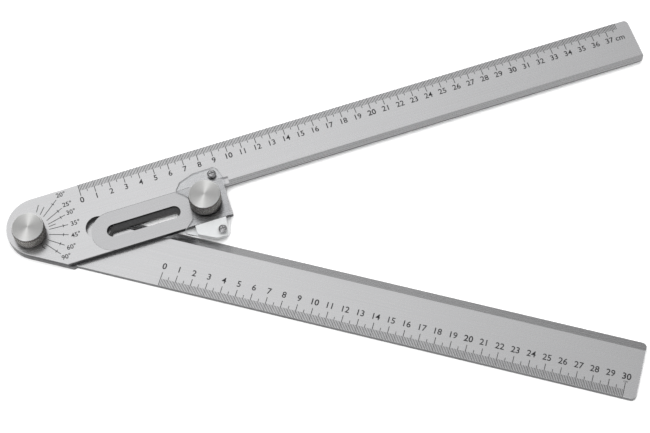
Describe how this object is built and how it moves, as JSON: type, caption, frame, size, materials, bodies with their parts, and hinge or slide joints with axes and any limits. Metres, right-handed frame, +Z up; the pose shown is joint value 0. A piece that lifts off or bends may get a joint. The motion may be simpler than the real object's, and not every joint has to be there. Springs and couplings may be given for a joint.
{
  "type": "bevel protractor",
  "caption": "Bevel protractor with a folding pair of graduated rules, a clamped pivot and a flush slotted slide locked by a second knob.",
  "frame": {"origin": "on the pivot axis, in the plane of the lower rule's underside", "axes": "+X runs along the upper rule towards its tip, +Y towards the upper rule's graduated edge, +Z up along the pivot"},
  "size_m": [0.4403, 0.2542, 0.0198],
  "materials": {
    "rule_aluminium": "satin anodised, brushed along the rule, black filled graduations",
    "knob_knurl": "knurled, dark anodised side",
    "knob_face": "bright, face turned in fine concentric grooves",
    "steel": "machined, zinc plated",
    "brass": "turned",
    "clear_plate": "clear acrylic with polished edges",
    "foot_nylon": "natural white nylon",
    "screw_steel": "dark nickel plated, cross recess",
    "friction_black": "matt black friction liner"
  },
  "bodies": {
    "upper_rule": {"upper_rule": "rule_aluminium", "pivot_bush": "brass", "pivot_disc_spring": "steel", "pivot_washer": "steel", "friction_strip": "friction_black", "slide_stud": "steel", "slide_washer": "steel", "keeper_plate": "clear_plate", "keeper_foot": "foot_nylon", "foot_insert": "brass", "keeper_screw_upper": "screw_steel", "keeper_screw_lower": "screw_steel"},
    "lower_rule": {"lower_rule": "rule_aluminium", "pivot_stud": "steel", "pivot_spacer": "steel"},
    "slide_bar": {"slide_bar": "rule_aluminium"},
    "pivot_knob": {"pivot_knob": "knob_knurl", "pivot_knob_cap": "knob_face"},
    "slide_knob": {"slide_knob": "knob_knurl", "slide_knob_cap": "knob_face"}
  },
  "joints": [
    {"name": "rule_fold", "type": "hinge", "parent": "upper_rule", "child": "lower_rule", "pos_m": [0, 0, 0], "axis": [0, 0, 1], "range_deg": [-146.5, 33.5]},
    {"name": "slide_travel", "type": "slide", "parent": "upper_rule", "child": "slide_bar", "axis": [1, 0, 0], "range_m": [0, 0.004]},
    {"name": "pivot_knob_turn", "type": "hinge", "parent": "lower_rule", "child": "pivot_knob", "pos_m": [0, 0, 0], "axis": [0, 0, 1], "range_deg": [0, 270]},
    {"name": "slide_knob_turn", "type": "hinge", "parent": "upper_rule", "child": "slide_knob", "pos_m": [0.1144, -0.01515, 0], "axis": [0, 0, 1], "range_deg": [0, 270]}
  ]
}
